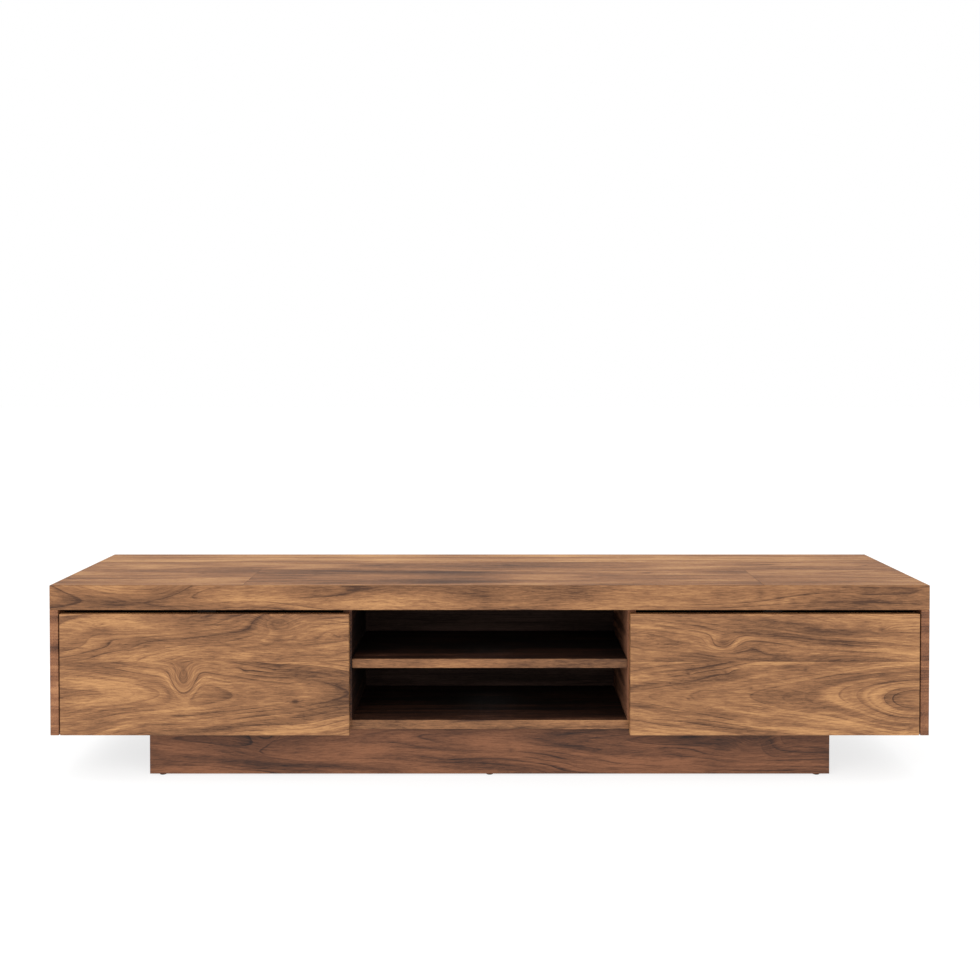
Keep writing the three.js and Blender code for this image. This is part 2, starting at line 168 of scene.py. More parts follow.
def rounded_box(low, high, radius_low, radius_high, step):
    """Six grids over the sides of a box, welded. A point p goes to c + r * unit((p - c) / r), where c
    is p held inside the box less its edge radii r, so that each edge is a quarter of an ellipse. The
    grid lines near an edge are 15 degrees of it apart. Gives points and quads."""
    low, high = np.array(low, float), np.array(high, float)
    radius_low, radius_high = np.array(radius_low, float), np.array(radius_high, float)
    out = np.tan(np.radians([45.0, 30.0, 15.0, 0.0]))
    lines = []
    for axis in range(3):
        start = low[axis] + radius_low[axis]
        end = high[axis] - radius_high[axis]
        count = max(1, int(round((end - start) / step[axis])))
        lines.append(np.concatenate([
            start - radius_low[axis] * out,
            np.linspace(start + SUPPORT, end - SUPPORT, count + 1),
            end + radius_high[axis] * out[::-1],
        ]))
    points, quads, total = [], [], 0
    for axis in range(3):
        u, v = (axis + 1) % 3, (axis + 2) % 3
        grid_u, grid_v = np.meshgrid(lines[u], lines[v], indexing="ij")
        index = np.arange(grid_u.size).reshape(grid_u.shape)
        cells = np.stack(
            [index[:-1, :-1], index[1:, :-1], index[1:, 1:], index[:-1, 1:]], -1).reshape(-1, 4)
        for limit, order in ((high[axis], cells), (low[axis], cells[:, ::-1])):
            side = np.zeros((grid_u.size, 3))
            side[:, axis] = limit
            side[:, u] = grid_u.ravel()
            side[:, v] = grid_v.ravel()
            points.append(side)
            quads.append(order + total)
            total += len(side)
    points, quads = np.concatenate(points), np.concatenate(quads)
    _, first, inverse = np.unique(np.round(points, 7), axis=0, return_index=True, return_inverse=True)
    points, quads = points[first], inverse.reshape(-1)[quads]
    centre = np.clip(points, low + radius_low, high - radius_high)
    radius = np.where(points < centre, radius_low, radius_high)
    away = (points - centre) / radius
    away /= np.linalg.norm(away, axis=1, keepdims=True)
    return centre + radius * away, quads


def sway(along, across, size, seed):
    """A smooth wandering field, the sum of six sine waves 0.25 to 1.2 m long and 0.08 to 0.4 m wide."""
    rng = np.random.default_rng(seed)
    total = np.zeros_like(along)
    for _ in range(6):
        length_along, length_across = rng.uniform(0.25, 1.2), rng.uniform(0.08, 0.4)
        phase, weight = rng.uniform(0, 2 * math.pi), rng.uniform(0.4, 1.0)
        sense = rng.choice([-1, 1])
        waves = along / length_along + sense * across / length_across
        total += weight * np.sin(2 * math.pi * waves + phase)
    return total * size / 3


def log_figure(points, along, across, heart, taper=0.0, slope=0.0, wave=0.004, knots=(), seed=1,
               tone=0.0):
    """Where each point lay in its log. The ring is its distance from the heart, a line along the board
    that leans by slope and sways, plus taper times the way along it. A knot (along, across, size,
    lift, stretch, darkness) adds lift times a bell that is stretch times as long as wide, and darkens
    the middle of it. The place in the log, which the fibres read, takes 0.7 of the lift and 0.6 of
    the sway, less than would fold it, and each seed moves it. Gives the place, the ring, the tone."""
    a, b, c = points[:, along], points[:, across], points[:, 3 - along - across]
    lift, dark = np.zeros_like(a), np.zeros_like(a)
    for knot_a, knot_b, size, height, stretch, darkness in knots:
        reach = ((a - knot_a) / (stretch * size)) ** 2 + ((b - knot_b) / size) ** 2
        lift += height * np.exp(-reach / 2)
        dark += darkness * np.exp(-reach * 2.5)
    swaying = sway(a, b, wave, seed) + sway(a, b * 2.7, wave * 0.35, seed + 50)
    ring = np.hypot(b - heart[0] - slope * a + swaying, c - heart[1]) + taper * a + lift
    place = np.stack([a + 1.7 * seed, b + 0.7 * lift + 0.6 * swaying, c], 1)
    return place, ring, tone - dark


def write_figure(mesh, place, ring, tone):
    """Stores the three results of log_figure as attributes of the mesh's points."""
    for name, kind, key, values in (
        ("log", "FLOAT_VECTOR", "vector", place),
        ("ring", "FLOAT", "value", ring),
        ("tone", "FLOAT", "value", tone),
    ):
        attribute = mesh.attributes.new(name, kind, "POINT")
        attribute.data.foreach_set(key, np.ascontiguousarray(values, np.float32).ravel())


def mesh_from(name, points, faces):
    """A mesh of an array of points and a list of faces, all turned outwards."""
    mesh = bpy.data.meshes.new(name)
    mesh.from_pydata(points.tolist(), [], faces)
    shape = bmesh.new()
    shape.from_mesh(mesh)
    bmesh.ops.recalc_face_normals(shape, faces=shape.faces)
    shape.to_mesh(mesh)
    shape.free()
    return mesh


def show(mesh, body, materials, stands_for=None, easing=0.0):
    """Puts a mesh in the scene as one piece, smooth but for its sharp edges, which easing bevels."""
    for material in materials:
        mesh.materials.append(material)
    mesh.polygons.foreach_set("use_smooth", np.ones(len(mesh.polygons), bool))
    mesh.set_sharp_from_angle(angle=SHARP_EDGE)
    piece = bpy.data.objects.new(mesh.name, mesh)
    bpy.context.scene.collection.objects.link(piece)
    if easing:
        bevel = piece.modifiers.new("eased edges", "BEVEL")
        bevel.width = easing
        bevel.segments = 2
        bevel.limit_method = "ANGLE"
        bevel.angle_limit = EASED_EDGE
        bevel.harden_normals = True
    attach(piece, body)
    if stands_for is not None:
        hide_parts(stands_for)


def timber(node, boards, body, material, shape=None, front_edge=None):
    """A piece glued up from boards, in place of its CAD node. Each board is a dict with its box, edge
    radii, grid step and figure, and its joints, the sides (axis, place) where a glue line shows dark.
    shape moves all the points once the boards are placed. front_edge is another finish for the front."""
    points, quads, figures, total = [], [], [], 0
    for board in boards:
        board_points, board_quads = rounded_box(
            board["low"], board["high"], board["radius_low"], board["radius_high"], board["step"])
        place, ring, tone = log_figure(board_points, **board["figure"])
        for axis, limit in board.get("joints", ()):
            tone = tone - 0.9 * (np.abs(board_points[:, axis] - limit) < GLUE_REACH)
        points.append(board_points)
        quads.append(board_quads + total)
        figures.append((place, ring, tone))
        total += len(board_points)
    points, quads = np.concatenate(points), np.concatenate(quads)
    if shape is not None:
        points = shape(points)
    mesh = mesh_from(node + "_timber", points, quads.tolist())
    write_figure(mesh, *(np.concatenate(values) for values in zip(*figures)))
    if front_edge is not None:
        behind = points[quads][:, :, 1].max(1) - points[:, 1].min()
        mesh.polygons.foreach_set("material_index", (behind < FRONT_DEPTH).astype(np.int32))
    show(mesh, body, [material] + ([front_edge] if front_edge else []), node)


def whole(node, along, across, step=0.012, **figure):
    """The board that fills a CAD node's box, its grain along one axis and its width along another."""
    low, high = span(node)
    figure = {"along": along, "across": across, **figure}
    figure.setdefault("heart", ((low + high)[across] / 2, high[3 - along - across] + 0.03))
    return {"low": low, "high": high, "radius_low": [ARRIS] * 3, "radius_high": [ARRIS] * 3,
            "step": [step] * 3, "figure": figure}


def walnut(name, dark, middle, light, ring_width=0.0105, contrast=1.0, roughness=0.52, sheen=0.3):
    """A planed and sanded timber that reads where it lay in its log. Dark late wood closes each growth
    ring, broad bands follow the rings, soft clouds ignore them, and pores and fibres run with the
    grain. Real pores are 0.2 mm wide and would not show, so fibres are drawn 2.3 mm wide and pores
    0.7 mm. The brightness is 0.55 plus the tone, plus each pattern less its middle value times a
    weight, and a ramp turns it into colour. The softer fibres are a little duller and stand lower."""
    material, tree, shader = new_material(name)
    log = add(tree, "Attribute", attribute_name="log").outputs["Vector"]
    ring = add(tree, "Attribute", attribute_name="ring").outputs["Fac"]
    tone = add(tree, "Attribute", attribute_name="tone").outputs["Fac"]
    along = add(tree, "SeparateXYZ", {0: log}).outputs[0]

    growth = add(tree, "CombineXYZ", {0: along, 1: ring, 2: 1.0}).outputs[0]
    fields = []
    for source, changes_a_metre, detail, fineness in (
        (growth, (1.6, 34, 1), 3, 0.55),  # bands 30 mm wide
        (growth, (2.5, 45, 5), 2, 0.5),  # the rings' width, changing over 22 mm
        (growth, (4.0, 26, 9), 2, 0.5),  # late wood that fades in and out over 40 mm
        (log, (3.5, 11, 11), 3, 0.5),  # clouds 0.3 m long and 90 mm wide
        (log, (8, 170, 170), 2, 0.6),  # strands 6 mm wide
        (log, (34, 430, 430), 3, 0.75),  # fibres
        (log, (75, 1500, 1500), 1, 0.5),  # pores
    ):
        place = add(tree, "VectorMath", {0: source, 1: changes_a_metre}, operation="MULTIPLY")
        fields.append(add(tree, "TexNoise", {
            "Vector": place.outputs[0], "Scale": 1, "Detail": detail, "Roughness": fineness}).outputs[0])
    bands, drift, strength, cloud, strand, fibre, pores = fields

    turns = add(tree, "Math", {0: ring, 1: ring_width}, operation="DIVIDE").outputs[0]
    turns = add(tree, "Math", {0: drift, 1: 2.2, 2: turns}, operation="MULTIPLY_ADD").outputs[0]
    phase = add(tree, "Math", {0: turns}, operation="FRACT").outputs[0]
    late = add(tree, "ValToRGB", {0: phase},
               stops=[(0.0, 0.5), (0.06, 0.0), (0.5, 0.04), (0.84, 0.30), (0.96, 1.0)]).outputs[0]
    late_strength = add(tree, "MapRange", {0: strength, 1: 0.42, 2: 0.66, 3: 0.06, 4: 1.0})
    late = add(tree, "Math", {0: late, 1: late_strength.outputs[0]}, operation="MULTIPLY").outputs[0]
    pore_mask = add(tree, "MapRange", {0: pores, 1: 0.60, 2: 0.70, 3: 0.0, 4: 1.0}).outputs[0]

    value = add(tree, "Math", {0: tone, 1: 0.55}, operation="ADD").outputs[0]
    for source, weight, centre in (
        (bands, 1.45 * contrast, 0.5),
        (cloud, 0.85 * contrast, 0.5),
        (late, -0.44 * contrast, 0.09),
        (strand, 0.30 * contrast, 0.5),
        (fibre, 0.95 * contrast, 0.5),
        (pore_mask, -0.22, 0.0),
    ):
        centred = add(tree, "Math", {0: source, 1: centre}, operation="SUBTRACT").outputs[0]
        value = add(tree, "Math", {0: centred, 1: weight, 2: value}, operation="MULTIPLY_ADD").outputs[0]
    colour = add(tree, "ValToRGB", {0: value},
                 stops=[(0.12, dark), (0.92, light), (0.52, middle)]).outputs[0]
    gloss = add(tree, "MapRange", {
        0: fibre, 1: 0.25, 2: 0.75, 3: roughness + 0.07, 4: roughness - 0.05}).outputs[0]
    relief = add(tree, "Math", {0: pore_mask, 1: -0.7, 2: fibre}, operation="MULTIPLY_ADD").outputs[0]
    bump = add(tree, "Bump", {"Strength": 0.25, "Distance": 0.0003, "Height": relief}).outputs[0]
    tree.links.new(colour, shader.inputs["Base Color"])
    tree.links.new(gloss, shader.inputs["Roughness"])
    tree.links.new(bump, shader.inputs["Normal"])
    shader.inputs["Specular IOR Level"].default_value = sheen
    return material


# Walnut coloured darker than the body's: chocolate brown turning red in its light bands, with a low
# satin gloss. On the plinth this darker colour is painted shade, for the shade under the body.
dark_walnut = walnut("darkened_walnut", "#2a1710", "#603b26", "#87573a", contrast=1.1)
# Spruce left as it was planed: pale straw colour with faint rings, and matt.
planed_spruce = walnut("planed_spruce", "#a98455", "#c9a878", "#dcc296", contrast=0.5, roughness=0.6)

timber("plinth_front", [whole(
    "plinth_front", 0, 2, step=0.006, heart=(0.088, FRONT + 0.055), taper=-0.075, wave=0.010, seed=11,
    tone=0.04, knots=(
        (-0.540, 0.092, 0.020, 0.024, 2.2, 0), (0.640, 0.078, 0.018, 0.026, 2.0, 0.1),
        (0.05, 0.060, 0.006, 0.005, 2, 0.3), (-0.72, 0.020, 0.012, 0, 8, -0.15),
        (-0.62, 0.060, 0.080, 0, 3, 0.18), (0.70, 0.060, 0.080, 0, 3, 0.11)))],
    "cabinet", dark_walnut)
timber("plinth_back", [whole("plinth_back", 0, 2, seed=12, taper=0.06)],
       "cabinet", dark_walnut)
for hand, side in HANDS:
    node = f"plinth_{hand}"
    timber(node, [whole(node, 1, 2, seed=13 + side)], "cabinet", dark_walnut)
timber("plinth_cross_rail", [whole("plinth_cross_rail", 1, 2, seed=16)],
       "cabinet", planed_spruce)


# ---- Glides --------------------------------------------------------------------------------------
# Six plain discs moulded in black plastic and pinned under the plinth, each with a countersunk hole
# for its pin and a rounded edge that slides over the floor.

def tube_faces(rings, turns):
    """Quads between neighbouring rings of points, each ring closed and numbered after the last."""
    index = np.arange(rings * turns).reshape(rings, turns)
    after = np.roll(index, -1, axis=1)
    return np.stack([index[:-1], after[:-1], after[1:], index[1:]], -1).reshape(-1, 4)


def turned(name, profile, start, axis, sense=1, turns=40, easing=0.0003):
    """A profile of (radius, distance from start) turned about an axis: at the angle t a point lies at
    start, plus its distance along the axis, plus radius * (cos t, sin t) across it. Each corner is cut
    back by easing along both its sides, or by 0.45 of a short side, and gets a point between the two
    cuts. Flat caps close its ends. A profile that ends where it starts is a ring without caps."""
    outline = np.array(profile, float)
    ring = bool(np.allclose(outline[0], outline[-1]))
    if ring:
        outline = outline[:-1]
    before, after = np.roll(outline, 1, axis=0), np.roll(outline, -1, axis=0)
    if not ring:
        before[0], after[-1] = outline[0], outline[-1]
    arrive, leave = (
        outline + (other - outline) * np.minimum(
            0.45, easing / np.maximum(np.linalg.norm(other - outline, axis=1, keepdims=True), 1e-9))
        for other in (before, after))
    curve = np.stack([arrive, (arrive + 2 * outline + leave) / 4, leave], 1).reshape(-1, 2)
    if ring:
        curve = np.vstack([curve, curve[:1]])
    angle = np.linspace(0, 2 * math.pi, turns, endpoint=False)
    points = np.zeros((len(curve), turns, 3))
    points[:, :, axis] = start[axis] + sense * curve[:, 1:]
    points[:, :, (axis + 1) % 3] = start[(axis + 1) % 3] + curve[:, :1] * np.cos(angle)
    points[:, :, (axis + 2) % 3] = start[(axis + 2) % 3] + curve[:, :1] * np.sin(angle)
    faces = tube_faces(len(curve), turns)
    if ring:
        count = (len(curve) - 1) * turns
        return mesh_from(name, points.reshape(-1, 3)[:count], (faces % count).tolist())
    caps = np.arange(turns), np.arange(turns) + (len(curve) - 1) * turns
    return mesh_from(name, points.reshape(-1, 3), faces.tolist() + [cap.tolist() for cap in caps])


# Moulded ABS in black: even, dull and faintly sparkling, from the mould's spark grain. The real grain
# is 0.1 mm and would not show, so it is drawn 0.7 mm wide.
moulded_plastic, tree, shader = new_material("moulded_black_abs")
grain = add(tree, "TexNoise", {
    "Vector": add(tree, "TexCoord").outputs["Object"], "Scale": 1400, "Detail": 1}).outputs[0]
tree.links.new(add(tree, "Bump", {"Strength": 0.3, "Distance": 0.0001, "Height": grain}).outputs[0],
               shader.inputs["Normal"])
shader.inputs["Base Color"].default_value = linear("#100e0d")
shader.inputs["Roughness"].default_value = 0.6
shader.inputs["Specular IOR Level"].default_value = 0.2

PIN_RADIUS = 0.0018
PIN_SEAT = (0.0032, 0.0012)  # the countersink's radius and depth
GLIDE_EDGE = 0.001

for row in ("front", "rear"):
    for column in ("left", "middle", "right"):
        node = f"glide_{row}_{column}"
        low, high = span(node)
        radius, thickness = (high[0] - low[0]) / 2, high[2] - low[2]
        profile = [(PIN_RADIUS, PIN_SEAT[1]), (PIN_SEAT[0], 0), (radius - GLIDE_EDGE, 0),
                   (radius, GLIDE_EDGE), (radius, thickness)]
        foot = [(low[0] + high[0]) / 2, (low[1] + high[1]) / 2, low[2]]
        show(turned(node + "_disc", profile, foot, 2), "cabinet", [moulded_plastic], node)


# ---- Body boards ---------------------------------------------------------------------------------
# The bottom panel lies on the plinth between the sides, and the two dividers and the shelf stand
# between it and the top, all of solid walnut. What faces the open bay is coloured nearly black:
# painted shade, for the deep shade inside the bay.

# Walnut finished with clear oil: warm brown with tan bands and dark ring lines, and a satin gloss.
oiled_walnut = walnut("oiled_walnut", "#482c1a", "#906340", "#c6925f")
# The same cut across its rings: straight dark lines, and a redder end grain at the edges.
quarter_walnut = walnut(
    "oiled_quarter_sawn_walnut", "#44281a", "#8a5a3c", "#b68158", ring_width=0.007, contrast=0.95)
# Walnut coloured almost black and quite matt, its figure hardly to be seen: painted shade, for the
# deep shade in the open bay and inside the cupboards.
painted_shade_walnut = walnut(
    "painted_shade_walnut", "#140f0d", "#2b201c", "#47362f", contrast=0.7, roughness=0.8, sheen=0.05)
# Walnut coloured deep reddish brown, and matt: painted shade, lighter than the near-black walnut,
# for the shade in the open bay.
lighter_painted_shade_walnut = walnut(
    "lighter_painted_shade_walnut", "#100907", "#40271c", "#8a5e46", contrast=0.8, roughness=0.7, sheen=0.1)


def merged(node):
    """A bmesh of a CAD node's own shape, with its doubled points joined and its flat faces made whole."""
    shape = bmesh.new()
    shape.from_mesh(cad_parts[node].data)
    bmesh.ops.remove_doubles(shape, verts=shape.verts, dist=1e-6)
    bmesh.ops.dissolve_limit(shape, angle_limit=0.005, verts=shape.verts, edges=shape.edges)
    return shape


def mesh_of(shape, name):
    """The mesh of a bmesh, with its faces turned outwards."""
    bmesh.ops.recalc_face_normals(shape, faces=shape.faces)
    mesh = bpy.data.meshes.new(name)
    shape.to_mesh(mesh)
    shape.free()
    return mesh


def carved(node, along, across, slot, materials, step=0.015, **figure):
    """A board with holes or a rebate, in place of its CAD node: the node's own shape cut by planes
    step apart, so that the figure can vary over it. A second material is for the forward edge."""
    shape = merged(node)
    low, high = span(node)
    for axis in (along, across):
        for place in np.arange(low[axis] + step, high[axis] - step / 3, step):
            bmesh.ops.bisect_plane(
                shape, geom=shape.verts[:] + shape.edges[:] + shape.faces[:],
                plane_co=[place] * 3, plane_no=[float(i == axis) for i in range(3)])
    mesh = mesh_of(shape, node + "_board")
    points = np.empty(len(mesh.vertices) * 3)
    mesh.vertices.foreach_get("co", points)
    figure.setdefault("heart", ((low[across] + high[across]) / 2, high[3 - along - across] + 0.03))
    write_figure(mesh, *log_figure(points.reshape(-1, 3), along, across, **figure))
    if len(materials) > 1:
        normal, centre = np.empty(len(mesh.polygons) * 3), np.empty(len(mesh.polygons) * 3)
        mesh.polygons.foreach_get("normal", normal)
        mesh.polygons.foreach_get("center", centre)
        forward = (normal[1::3] < -0.9) & (centre[1::3] < low[1] + 1e-4)
        mesh.polygons.foreach_set("material_index", forward.astype(np.int32))
    show(mesh, "cabinet", materials, node, easing=0.0007)


# Each of these boards is coloured lighter in a wide pale patch along its front: painted light, where
# light falls into the bay.
for node, seed, tone in (("bottom_panel", 21, -0.34), ("shelf", 22, -0.45)):
    painted_front_light = ((0, span(node)[0][1], 0.12, 0, 20, -0.3),)
    timber(node, [whole(node, 0, 1, seed=seed, taper=0.007, wave=0.002, tone=tone, knots=painted_front_light)],
           "cabinet", lighter_painted_shade_walnut, front_edge=oiled_walnut)
for hand, side in HANDS:
    # Each divider is coloured lighter towards its front, and the right one lighter all over than the
    # left: painted light, where light falls into the bay and onto the face that looks towards the key
    # lamp.
    painted_front_light = ((FRONT, 0.275, 0.4, 0, 0.35, -0.34 - 0.09 * side),)
    carved(f"{hand}_divider", 1, 2, "walnut_smoked", [lighter_painted_shade_walnut, dark_walnut], seed=24 + side,
           taper=0.02, tone=0.285 * side - 0.165, knots=painted_front_light)
    carved(f"{hand}_side", 1, 2, "walnut_oiled", [quarter_walnut], step=0.012, seed=27 + side,
           heart=(-0.35, side * 1.05), tone=-0.05 if side < 0 else -0.12, wave=0.003)


# ---- Shelf pins ----------------------------------------------------------------------------------
# Four plain steel pins, zinc plated, pushed into blind holes in the dividers. The shelf rests on
# their free ends and can be lifted out.

def plated(name, shade, worn, roughness):
    """Plated metal. Soft clouds 12 mm across change its shade, and a grain changes its gloss. The real
    crystals are far finer and would not show, so the grain is drawn 1.1 mm wide."""
    material, tree, shader = new_material(name)
    place = add(tree, "TexCoord").outputs["Object"]
    cloud = add(tree, "TexNoise", {"Vector": place, "Scale": 85, "Detail": 3}).outputs[0]
    grain = add(tree, "TexNoise", {"Vector": place, "Scale": 900, "Detail": 2}).outputs[0]
    colour = add(tree, "ValToRGB", {0: cloud}, stops=[(0.35, worn), (0.65, shade)]).outputs[0]
    gloss = add(tree, "MapRange", {
        0: grain, 1: 0.3, 2: 0.7, 3: roughness - 0.08, 4: roughness + 0.1}).outputs[0]
    tree.links.new(colour, shader.inputs["Base Color"])
    tree.links.new(gloss, shader.inputs["Roughness"])
    shader.inputs["Metallic"].default_value = 1
    return material


# Zinc-plated mild steel: a cool light grey with slightly cloudy, satin reflections.
zinc_steel = plated("zinc_plated_steel", "#c3c5c8", "#a3a5a9", 0.34)


def rod(radius, length, chamfer):
    """The profile of a rod with chamfered ends."""
    return [(radius - chamfer, 0), (radius, chamfer),
            (radius, length - chamfer), (radius - chamfer, length)]


def end_of(node, side):
    """The middle of a CAD node's end that faces the bench's middle, its length along X and its radius."""
    low, high = span(node)
    start = (low + high) / 2
    start[0] = low[0] if side > 0 else high[0]
    return start, high[0] - low[0], (high[2] - low[2]) / 2


for hand, side in HANDS:
    for place in ("front", "rear"):
        node = f"shelf_pin_{place}_{hand}"
        start, length, radius = end_of(node, side)
        show(turned(node + "_rod", rod(radius, length, 0.0005), start, 0, side, turns=28),
             "cabinet", [zinc_steel], node)


# ---- Backs ---------------------------------------------------------------------------------------
# Two thin walnut-faced panels let into rebates behind the cupboards and screwed on round their
# edges, and a thicker one set forward behind the bay, with a rounded cable slot in each level.

# The recess stamped in a screw's head: nearly black, because little light comes out of it, with worn
# patches drawn 0.4 mm wide.
driver_recess, tree, shader = new_material("screw_driver_recess")
wear = add(tree, "TexNoise", {
    "Vector": add(tree, "TexCoord").outputs["Object"], "Scale": 2500}).outputs[0]
tree.links.new(add(tree, "ValToRGB", {0: wear}, stops=[(0.4, "#151516"), (0.6, "#232325")]).outputs[0],
               shader.inputs["Base Color"])
shader.inputs["Roughness"].default_value = 0.8

# A head's rings of points, each as its share of the radius and of the height.
HEAD_RINGS = np.array([(0.05, 1.0), (0.38, 0.95), (0.7, 0.75), (1.0, 0.35), (1.0, -0.3)])
HEAD_SIDES = 16
BACK_SCREW_SIDE, BACK_SCREW_FOOT, BACK_SCREW_TOP = 0.005, 0.011, 0.012  # in from the panel's edges


def screw_heads(name, places, axis, sense, radius, body, material, height=0.0003):
    """Countersunk heads at the places given. Ring i of a head has 16 points, at radius * r_i from its
    axis and height * h_i above the face. Every fourth sector of the inner rings is the recess."""
    angle = (np.arange(HEAD_SIDES) + 0.5) * 2 * math.pi / HEAD_SIDES
    reach, lift = HEAD_RINGS[:, :1], HEAD_RINGS[:, 1:]
    head = np.zeros((len(HEAD_RINGS), HEAD_SIDES, 3))
    head[:, :, axis] = sense * height * lift
    head[:, :, (axis + 1) % 3] = radius * reach * np.cos(angle)
    head[:, :, (axis + 2) % 3] = radius * reach * np.sin(angle)
    points = (np.array(places, float)[:, None, None] + head).reshape(-1, 3)
    size = HEAD_SIDES * len(HEAD_RINGS)
    starts = np.arange(len(places)) * size
    quads = (tube_faces(len(HEAD_RINGS), HEAD_SIDES)[None] + starts[:, None, None]).reshape(-1, 4)
    tops = starts[:, None] + np.arange(HEAD_SIDES)
    bottoms = tops + size - HEAD_SIDES
    mesh = mesh_from(name, points, quads.tolist() + tops.tolist() + bottoms.tolist())
    level, sector = np.divmod(np.arange(len(quads)) % (size - HEAD_SIDES), HEAD_SIDES)
    recess = np.concatenate([
        (level < 2) & (sector % 4 == 3), np.ones(len(places)), np.zeros(len(places))])
    mesh.polygons.foreach_set("material_index", recess.astype(np.int32))
    show(mesh, body, [material, driver_recess])


# The backs are near black: painted shade, for the shade behind the bay and inside the cupboards.
carved("centre_back", 0, 2, "back_board", [painted_shade_walnut], seed=31, tone=0.06)
for hand, side in HANDS:
    node = f"{hand}_back"
    timber(node, [whole(node, 0, 2, seed=32 + side)], "cabinet", painted_shade_walnut)
    low, high = span(node)
    columns = np.linspace(low[0] + BACK_SCREW_SIDE, high[0] - BACK_SCREW_SIDE, 6)
    rows = np.linspace(low[2] + BACK_SCREW_FOOT, high[2] - BACK_SCREW_TOP, 4)
    places = [(x, high[1], rows[0]) for x in columns]
    places += [(x, high[1], z) for x in (columns[0], columns[-1]) for z in rows[1:]]
    screw_heads(node + "_screws", places, 1, 1, 0.0026, "cabinet", zinc_steel, height=0.0007)


# ---- Cable grommets ------------------------------------------------------------------------------
# A moulded black sleeve with a flange on the cupboard's side lines the round port in each divider,
# so that cables can pass between the cupboards and the space behind the bay.

FLANGE = 0.002  # thickness
SLEEVE_INSET, BORE_INSET = 0.0053, 0.0093  # in from the flange's edge

for hand, side in HANDS:
    node = f"{hand}_cable_grommet"
    start, length, flange = end_of(node, side)
    sleeve, bore = flange - SLEEVE_INSET, flange - BORE_INSET
    profile = [(bore, 0), (sleeve, 0), (sleeve, length - FLANGE), (flange, length - FLANGE),
               (flange, length), (bore, length), (bore, 0)]
    show(turned(node + "_sleeve", profile, start, 0, side, turns=64, easing=0.0006),
         "cabinet", [moulded_plastic], node)


# ---- Top -----------------------------------------------------------------------------------------
# A hollow slab just under 60 mm thick. Its skin is glued up from solid staves of mixed widths and is
# mitred to a lipping along the front and both ends. Ribs and an under-skin carry it.

top_low, top_high = span("top_board")
GLUE_EDGE = 0.0005  # staves are eased a little before they are glued, which shows as a fine line
ROWS = (top_low[1], -0.123, -0.010, 0.100, top_high[1])  # the joints along the top
COLUMNS = (top_low[0], -0.590, 0.655, top_high[0])  # the butt joints across it


def mitred(face_axis, outer, low, high, cuts):
    """Slides each point away from a cut edge by its depth behind the shown face times its share of the
    way there, so that each cut edge of the box between low and high slopes at 45 degrees."""
    def move(points):
        depth = np.abs(points[:, face_axis] - outer)
        for axis, sign in cuts:
            limit, other = (high[axis], low[axis]) if sign > 0 else (low[axis], high[axis])
            share = (points[:, axis] - other) / (limit - other)
            points[:, axis] -= sign * depth * share
        return points
    return move


def stave(x_range, y_range, **figure):
    """One stave of the skin, with fine glue edges and a rounder arris where it meets the outside."""
    low = np.array([x_range[0], y_range[0], top_low[2]])
    high = np.array([x_range[1], y_range[1], top_high[2]])
    radius_low = np.where(low == top_low, ARRIS, GLUE_EDGE)
    radius_high = np.where(high == top_high, ARRIS, GLUE_EDGE)
    joints = [(i, low[i]) for i in (0, 1) if low[i] != top_low[i]]
    joints += [(i, high[i]) for i in (0, 1) if high[i] != top_high[i]]
    heart = ((y_range[0] + y_range[1]) / 2, top_low[2] - 0.02)
    figure = {"along": 0, "across": 1, "heart": heart, **figure}
    return {"low": low, "high": high, "radius_low": radius_low, "radius_high": radius_high,
            "step": [0.010, 0.006, 0.010], "joints": joints, "figure": figure}


staves = [
    stave((COLUMNS[0], COLUMNS[1]), (ROWS[0], ROWS[1]), seed=41, tone=-0.03, heart=(-0.40, 0.40),
          knots=((-0.98, -0.18, 0.06, 0, 4, -0.12),)),
    stave((COLUMNS[0], COLUMNS[1]), (ROWS[1], ROWS[2]), seed=42, tone=-0.07, taper=0.03),
    # The middle stave is toned darker than the others: painted shade, from a television that stood on the
    # top.
    stave((COLUMNS[1], COLUMNS[2]), (ROWS[0], ROWS[2]), seed=43, tone=-0.13, taper=0.03,
          knots=((-0.44, -0.09, 0.006, 0.006, 2, 0.3), (0.40, -0.06, 0.012, 0.010, 2, 0.3))),
    stave((COLUMNS[2], COLUMNS[3]), (ROWS[0], ROWS[1]), seed=44, heart=(-0.45, 0.40)),
    stave((COLUMNS[2], COLUMNS[3]), (ROWS[1], ROWS[2]), seed=45, tone=-0.04, taper=-0.04),
    stave((COLUMNS[0], COLUMNS[3]), (ROWS[2], ROWS[3]), seed=46, tone=-0.02, taper=0.03, slope=0.02,
          knots=((-1.00, 0.05, 0.007, 0.007, 2, 0.4), (0.985, 0.045, 0.006, 0.006, 1, 0.5))),
    stave((COLUMNS[0], COLUMNS[3]), (ROWS[3], ROWS[4]), seed=47, tone=0.10, heart=(0.5, 0.40)),
]
# Oiled walnut picked for a quiet figure, and duller, because a top is rubbed down most.
top_walnut = walnut(
    "oiled_walnut_rubbed", "#482c1a", "#8b5e3c", "#be8f5e", contrast=0.82, roughness=0.6, sheen=0.15)
timber("top_board", staves, "cabinet", top_walnut,
       mitred(2, top_high[2], top_low, top_high, ((1, -1), (0, -1), (0, 1))))

